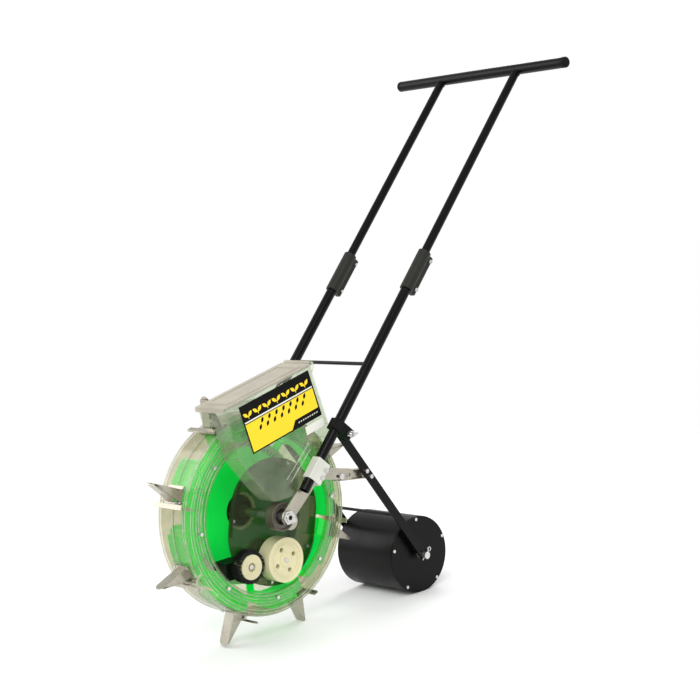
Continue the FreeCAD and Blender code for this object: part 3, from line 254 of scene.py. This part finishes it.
LOOK = {
    "wheel": ["wheel_shell_far", "wheel_shell_near"],
    "hopper": ["hopper_body"],
    "smoky": ["chamber_plate"],
    "green": ["seed_guide", "seed_cups"],
    "zinc": ["fixed_jaws", "roller_stay", "side_plate_near", "side_plate_far", "hub_plate"],
    "steel": ["wheel_bolts", "jaw_screws", "jaw_pins", "jaw_springs", "wheel_bearings", "axle_nuts",
              "frame_bolts", "chamber_bolts", "arm_bolts", "wing_nuts", "roller_screws", "roller_axle",
              "spring_clips", "lid_hinge_pin", "seed_shaft", "brush_pin", "axle_tube"],
    "black": ["lower_tubes", "upper_tubes", "handle_bar", "cross_rod", "arm_near", "arm_far", "arm_rod"],
    "roller": ["roller_shell", "roller_caps"],
    "rubber": ["bar_end_caps", "seed_wiper", "pivot_lugs", "wheel_hub"],
    "coupler": ["couplers"],
    "dark_metal": ["hub_ring"],
    "cream": ["seed_roller", "brush_core"],
    "white": ["ring_gear", "seed_pinion", "saddles"],
    "lid": ["hopper_lid"],
    "ink": ["hopper_label"],
    "paper": ["hopper_sticker"],
    "hair": ["brush_hair"],
}
LOOK["zinc"] += ["moving_jaw_" + letter for letter in "abcdefgh"]
for look, names in LOOK.items():
    for name in names:
        nodes[name].data.materials.clear()
        nodes[name].data.materials.append(M[look])

BEVEL_SEGMENTS = 2
BEVEL_ANGLE = 40
# edge widths in millimetres, and the pieces whose moulded or cut edges have them
BEVELLED = {
    1.5: ["wheel_shell_far"],
    1.2: ["hopper_body"],
    1.0: ["wheel_shell_near", "saddles"],
    0.8: ["hopper_lid", "seed_roller", "brush_core", "couplers", "roller_caps", "pivot_lugs", "roller_axle"],
    0.7: ["arm_near", "arm_far"],
    0.6: ["hub_ring", "axle_nuts"],
    0.5: ["side_plate_near", "side_plate_far", "hub_plate", "frame_bolts", "seed_cups"],
    0.4: ["roller_stay"],
}
for width, names in BEVELLED.items():
    for name in names:
        bevel = nodes[name].modifiers.new("soft_edges", "BEVEL")
        bevel.width = width * MM
        bevel.segments = BEVEL_SEGMENTS
        bevel.limit_method = "ANGLE"
        bevel.angle_limit = math.radians(BEVEL_ANGLE)
        bevel.use_clamp_overlap = True


# ---------------------------------------------------------------- mesh helpers
def piece(name, vertices, faces, material, body, slot, smooth=False):
    """A mesh piece in millimetres that moves with one body."""
    mesh = bpy.data.meshes.new(name)
    mesh.from_pydata([tuple(c * MM for c in vertex) for vertex in vertices], [], faces)
    mesh.materials.append(material)
    for polygon in mesh.polygons:
        polygon.use_smooth = smooth
    mesh.update()
    item = bpy.data.objects.new(name, mesh)
    bpy.context.scene.collection.objects.link(item)
    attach(item, body)
    return item


def slab(outline, place, low, high):
    """Vertices and faces of a flat shape with thickness; place turns (u, v, height) into a position."""
    count = len(outline)
    vertices = [place(u, v, low) for u, v in outline] + [place(u, v, high) for u, v in outline]
    faces = [tuple(reversed(range(count))), tuple(range(count, 2 * count))]
    for index in range(count):
        after = (index + 1) % count
        faces.append((index, after, count + after, count + index))
    return vertices, faces


def merge(parts):
    """One vertex and face list from several."""
    vertices = []
    faces = []
    for some_vertices, some_faces in parts:
        start = len(vertices)
        vertices += some_vertices
        faces += [tuple(start + index for index in face) for face in some_faces]
    return vertices, faces


def rod(path, radius, sides=8):
    """A round rod along a path of points, closed at both ends."""
    points = [Vector(point) for point in path]
    vertices = []
    faces = []
    for index, point in enumerate(points):
        before = points[max(index - 1, 0)]
        after = points[min(index + 1, len(points) - 1)]
        direction = (after - before).normalized()
        if index == 0:
            side = direction.orthogonal().normalized()
        else:
            side = (side - direction * side.dot(direction)).normalized()
        other = direction.cross(side)
        for step in range(sides):
            turn = 2 * math.pi * step / sides
            vertices.append(tuple(point + side * radius * math.cos(turn) + other * radius * math.sin(turn)))
    for ring in range(len(points) - 1):
        for step in range(sides):
            after = (step + 1) % sides
            low = ring * sides
            faces.append((low + step, low + after, low + sides + after, low + sides + step))
    faces.append(tuple(reversed(range(sides))))
    faces.append(tuple(range(len(vertices) - sides, len(vertices))))
    return vertices, faces


# ---------------------------------------------------------------- printed label: a seed and sprout pattern
# millimetres; the label's lower edge slopes about as much as the hopper's rim does
LABEL_CORNER = (-67, 145)
LABEL_ACROSS = Vector((192, 45)).normalized()
LABEL_UP = Vector((-24, 99)).normalized()
LABEL_FACE = 105.4
INK_BASE = 0.02
INK_TOP = 0.25
STEM_TOP = 0.2
SEED_BASE = 0.26
SEED_TOP = 0.42
SPROUT_PITCH = 26.5
SEED_PITCH = 20


def on_label(u, v, height):
    """A point on the label from distances along its lower and left edges."""
    y = LABEL_CORNER[0] + LABEL_ACROSS.x * u + LABEL_UP.x * v
    z = LABEL_CORNER[1] + LABEL_ACROSS.y * u + LABEL_UP.y * v
    return (LABEL_FACE + height, y, z)


def leaf(u, v, length, width, lean):
    """Outline of a pointed leaf that starts at (u, v) and leans to one side."""
    outline = []
    steps = 6
    for step in range(steps + 1):
        t = step / steps
        outline.append((t * length, width * math.sin(math.pi * t) / 2))
    for step in range(steps - 1, 0, -1):
        t = step / steps
        outline.append((t * length, -width * math.sin(math.pi * t) / 2))
    turn = math.radians(lean)
    return [(u + a * math.cos(turn) - b * math.sin(turn), v + a * math.sin(turn) + b * math.cos(turn))
            for a, b in outline]


def label_print():
    """Yellow field, white line, sprouts on the dark band and seeds on the field."""
    field = [(3, 3), (112, 3), (126, 19), (193, 19), (193, 62), (3, 62)]
    piece("label_field", *slab(field, on_label, INK_BASE, INK_TOP), M["yellow"], "frame", "label_print")
    white = [slab([(3, 64), (193, 64), (193, 67), (3, 67)], on_label, INK_BASE, INK_TOP)]
    for step in range(9):
        white.append(slab(leaf(132 + 6.5 * step, 9.5, 5.2, 2.4, 25), on_label, INK_BASE, INK_TOP))
    piece("label_white", *merge(white), M["paper"], "frame", "sticker_paper")
    sprouts = []
    for step in range(7):
        u = 17 + SPROUT_PITCH * step
        sprouts.append(slab(leaf(u, 75, 15, 7.5, 42), on_label, INK_BASE, INK_TOP))
        sprouts.append(slab(leaf(u - 1, 75, 15, 7.5, 138), on_label, INK_BASE, INK_TOP))
        stem = [(u - 1.2, 71), (u + 0.4, 71), (u + 0.4, 77), (u - 1.2, 77)]
        sprouts.append(slab(stem, on_label, INK_BASE, STEM_TOP))
    piece("label_sprouts", *merge(sprouts), M["yellow"], "frame", "label_print")
    seeds = []
    for row, v in enumerate((38, 50)):
        for step in range(7):
            u = 34 + SEED_PITCH * step + 9 * row
            seeds.append(slab(leaf(u, v, 13, 6.5, 55), on_label, SEED_BASE, SEED_TOP))
    piece("label_seeds", *merge(seeds), M["ink"], "frame", "label_print")


label_print()


# ---------------------------------------------------------------- small things the solids leave out
BEAD_THICK = 1.5
BEAD_RIPPLE = 0.35


def weld_bead(name, centre, axis, radius, body):
    """A rippled weld round a tube."""
    axis = Vector(axis).normalized()
    side = axis.orthogonal().normalized()
    other = axis.cross(side)
    rings = 48
    sides = 8
    vertices = []
    faces = []
    for index in range(rings):
        turn = 2 * math.pi * index / rings
        out = side * math.cos(turn) + other * math.sin(turn)
        thick = BEAD_THICK + BEAD_RIPPLE * math.sin(index * 2.2)
        for step in range(sides):
            angle = 2 * math.pi * step / sides
            point = Vector(centre) + out * (radius + thick * math.cos(angle)) + axis * thick * math.sin(angle)
            vertices.append(tuple(point))
    for index in range(rings):
        for step in range(sides):
            low = index * sides
            high = ((index + 1) % rings) * sides
            after = (step + 1) % sides
            faces.append((low + step, high + step, high + after, low + after))
    piece(name, vertices, faces, M["black"], body, "black_paint", smooth=True)


HANDLE_TURN = math.radians(46.6)
ALONG = Vector((0, math.cos(HANDLE_TURN), math.sin(HANDLE_TURN)))
JOINT = Vector((0, 391, 417))
TUBE_X = 120
TUBE_TOP = 628 - 12.5
ROD_PLACE = -195
ROD_END = 0.905
for side_name, x in (("near", TUBE_X), ("far", -TUBE_X)):
    tube_end = JOINT + ALONG * TUBE_TOP + Vector((x, 0, 0))
    weld_bead("bar_weld_" + side_name, tube_end, ALONG, 9.5, "handle")
    rod_end = JOINT + ALONG * ROD_PLACE + Vector((x * ROD_END, 0, 0))
    weld_bead("rod_weld_" + side_name, rod_end, (1, 0, 0), 4, "frame")


BRUSH_Y = -61.5
BRUSH_Z = -96
HAIR_COUNT = 1500
HAIR_ROOT = 25.5
HAIR_RADIUS = 0.5


def brush_point(x, reach, turn):
    """A point at a distance and angle round the brush's axis."""
    return (x, BRUSH_Y + reach * math.cos(turn), BRUSH_Z + reach * math.sin(turn))


def brush_bristles():
    """Stiff hairs standing out of the brush core, a little uneven."""
    hairs = []
    for _ in range(HAIR_COUNT):
        turn = random.uniform(0, 2 * math.pi)
        x = random.uniform(25, 51)
        lean = turn + random.uniform(-0.06, 0.06)
        root = brush_point(x, HAIR_ROOT, turn)
        reach = random.uniform(34.6, 36)
        tip = brush_point(x + random.uniform(-1, 1), reach, lean)
        hairs.append(rod([root, tip], HAIR_RADIUS, 4))
    hair = piece("brush_bristles", *merge(hairs), M["hair"], "brush", "brush_hair")
    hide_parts("brush_hair")


brush_bristles()


NEAR_WALL = 105.6
RIM_SIDES = (18, 104)
RIB_GAP = 9


def hopper_ribs():
    """Moulded ribs and a rolled rim on the clear hopper, in the whiter plastic that paints highlights along
    them.
    """
    ribs = []
    for shift in (0, RIB_GAP):
        top = (NEAR_WALL, 74 + shift, 132 - shift * 0.8)
        foot = (NEAR_WALL, 12 + shift, 76 - shift * 0.8)
        ribs.append(rod([top, foot], 1.3, 8))
    for x in RIM_SIDES:
        ribs.append(rod([(x, -124, 245), (x, 106, 295.5)], 1.5, 8))
    ribs.append(rod([(x, -125.5, 243) for x in RIM_SIDES], 1.8, 8))
    piece("hopper_ribs", *merge(ribs), M["painted_highlight_ridge"], "frame", "clear_plastic", smooth=True)


hopper_ribs()


# radius and x of each ring on the near face, in millimetres
FACE_RINGS = ((168, 50.0), (175, 47.0), (181, 47.0), (187, 47.0), (197, 50.0), (203, 50.0))
RIM_RING_RADIUS = 210.2
RIM_RINGS = (40.0, 34.0, 0.0, -44.0)
RING_STEPS = 96


def drum_ribs():
    """Fine moulded rings round the near face and the rim of the clear drum, in the whiter plastic that paints
    highlight lines on them.
    """
    rings = []
    for radius, x in FACE_RINGS + tuple((RIM_RING_RADIUS, x) for x in RIM_RINGS):
        circle = []
        for step in range(RING_STEPS + 1):
            turn = 2 * math.pi * step / RING_STEPS
            circle.append((x, radius * math.cos(turn), radius * math.sin(turn)))
        rings.append(rod(circle, 0.8, 6))
    piece("drum_rings", *merge(rings), M["painted_highlight_ridge"], "wheel", "clear_plastic", smooth=True)


drum_ribs()


# ---------------------------------------------------------------- stage, light and camera
# the stage is in metres
FLOOR_REACH = 9.0
FLOOR_LEVEL = -0.2587
FADE_FROM = 0.7
FADE_TO = 2.2


def stage_floor():
    """A plain pale floor under the tips that stand on the ground, fading into the white background."""
    s = Shader("pale_floor")
    tone = s.ramp(s.noise(3, 2), 0.3, 0.7, linear((0.965, 0.965, 0.965)), linear((0.985, 0.985, 0.985)))
    white = s.add("ShaderNodeEmission", Strength=1.0)
    distance = s.add("ShaderNodeVectorMath", operation="LENGTH")
    s.join(s.coordinates, distance.inputs[0])
    fade = s.add("ShaderNodeMapRange")
    fade.inputs["From Min"].default_value = FADE_FROM
    fade.inputs["From Max"].default_value = FADE_TO
    s.join(distance.outputs["Value"], fade.inputs["Value"])
    material = s.finish(s.blend(fade.outputs["Result"], s.surface(tone, 0.7), white))
    mesh = bpy.data.meshes.new("floor")
    corners = []
    for x, y in ((-1, -1), (1, -1), (1, 1), (-1, 1)):
        corners.append((x * FLOOR_REACH, y * FLOOR_REACH, FLOOR_LEVEL))
    mesh.from_pydata(corners, [], [(0, 1, 2, 3)])
    mesh.materials.append(material)
    floor = bpy.data.objects.new("floor", mesh)
    bpy.context.scene.collection.objects.link(floor)


def area_light(name, location, target, power, extent):
    """A soft square light aimed at a point."""
    data = bpy.data.lights.new(name, "AREA")
    data.energy = power
    data.size = extent
    lamp = bpy.data.objects.new(name, data)
    lamp.location = location
    direction = Vector(target) - Vector(location)
    lamp.rotation_euler = direction.to_track_quat("-Z", "Y").to_euler()
    bpy.context.scene.collection.objects.link(lamp)


CAMERA_AZIMUTH = 47.77
CAMERA_ELEVATION = 6.74
CAMERA_ROLL = -6.08
CAMERA_LENS = 82.16
CAMERA_PLACE = (2.58636, -2.02929, 0.70652)


def camera():
    """The camera stands low on the near front side, rolled a little."""
    azimuth = math.radians(CAMERA_AZIMUTH)
    elevation = math.radians(CAMERA_ELEVATION)
    roll = math.radians(CAMERA_ROLL)
    back = Vector((math.sin(azimuth) * math.cos(elevation), -math.cos(azimuth) * math.cos(elevation),
                   math.sin(elevation)))
    level_right = Vector((math.cos(azimuth), math.sin(azimuth), 0))
    level_up = back.cross(level_right)
    right = level_right * math.cos(roll) + level_up * math.sin(roll)
    up = level_up * math.cos(roll) - level_right * math.sin(roll)
    data = bpy.data.cameras.new("camera")
    data.lens = CAMERA_LENS
    data.sensor_width = 36
    item = bpy.data.objects.new("camera", data)
    turn = Matrix((right, up, back)).transposed().to_4x4()
    item.matrix_world = Matrix.Translation(CAMERA_PLACE) @ turn
    bpy.context.scene.collection.objects.link(item)
    bpy.context.scene.camera = item


stage_floor()
area_light("key", (2.6, -2.2, 2.8), (0, 0.2, 0.2), 95, 2.2)
area_light("fill", (-2.4, -1.6, 1.8), (0, 0.2, 0.2), 45, 2.5)
area_light("rim", (-1.0, 3.0, 2.4), (0, 0.3, 0.2), 60, 2.0)
LIT_BY_WORLD = 0.72
SEEN_WORLD = 1.02
world = bpy.data.worlds.new("studio")
world.use_nodes = True
background = world.node_tree.nodes["Background"]
background.inputs["Color"].default_value = (1, 1, 1, 1)
seen = world.node_tree.nodes.new("ShaderNodeLightPath").outputs["Is Camera Ray"]
level = world.node_tree.nodes.new("ShaderNodeMapRange")
level.inputs["To Min"].default_value = LIT_BY_WORLD
level.inputs["To Max"].default_value = SEEN_WORLD
world.node_tree.links.new(seen, level.inputs["Value"])
world.node_tree.links.new(level.outputs["Result"], background.inputs["Strength"])
bpy.context.scene.world = world
bpy.context.scene.view_settings.view_transform = "Standard"
bpy.context.scene.cycles.transparent_max_bounces = 32
camera()
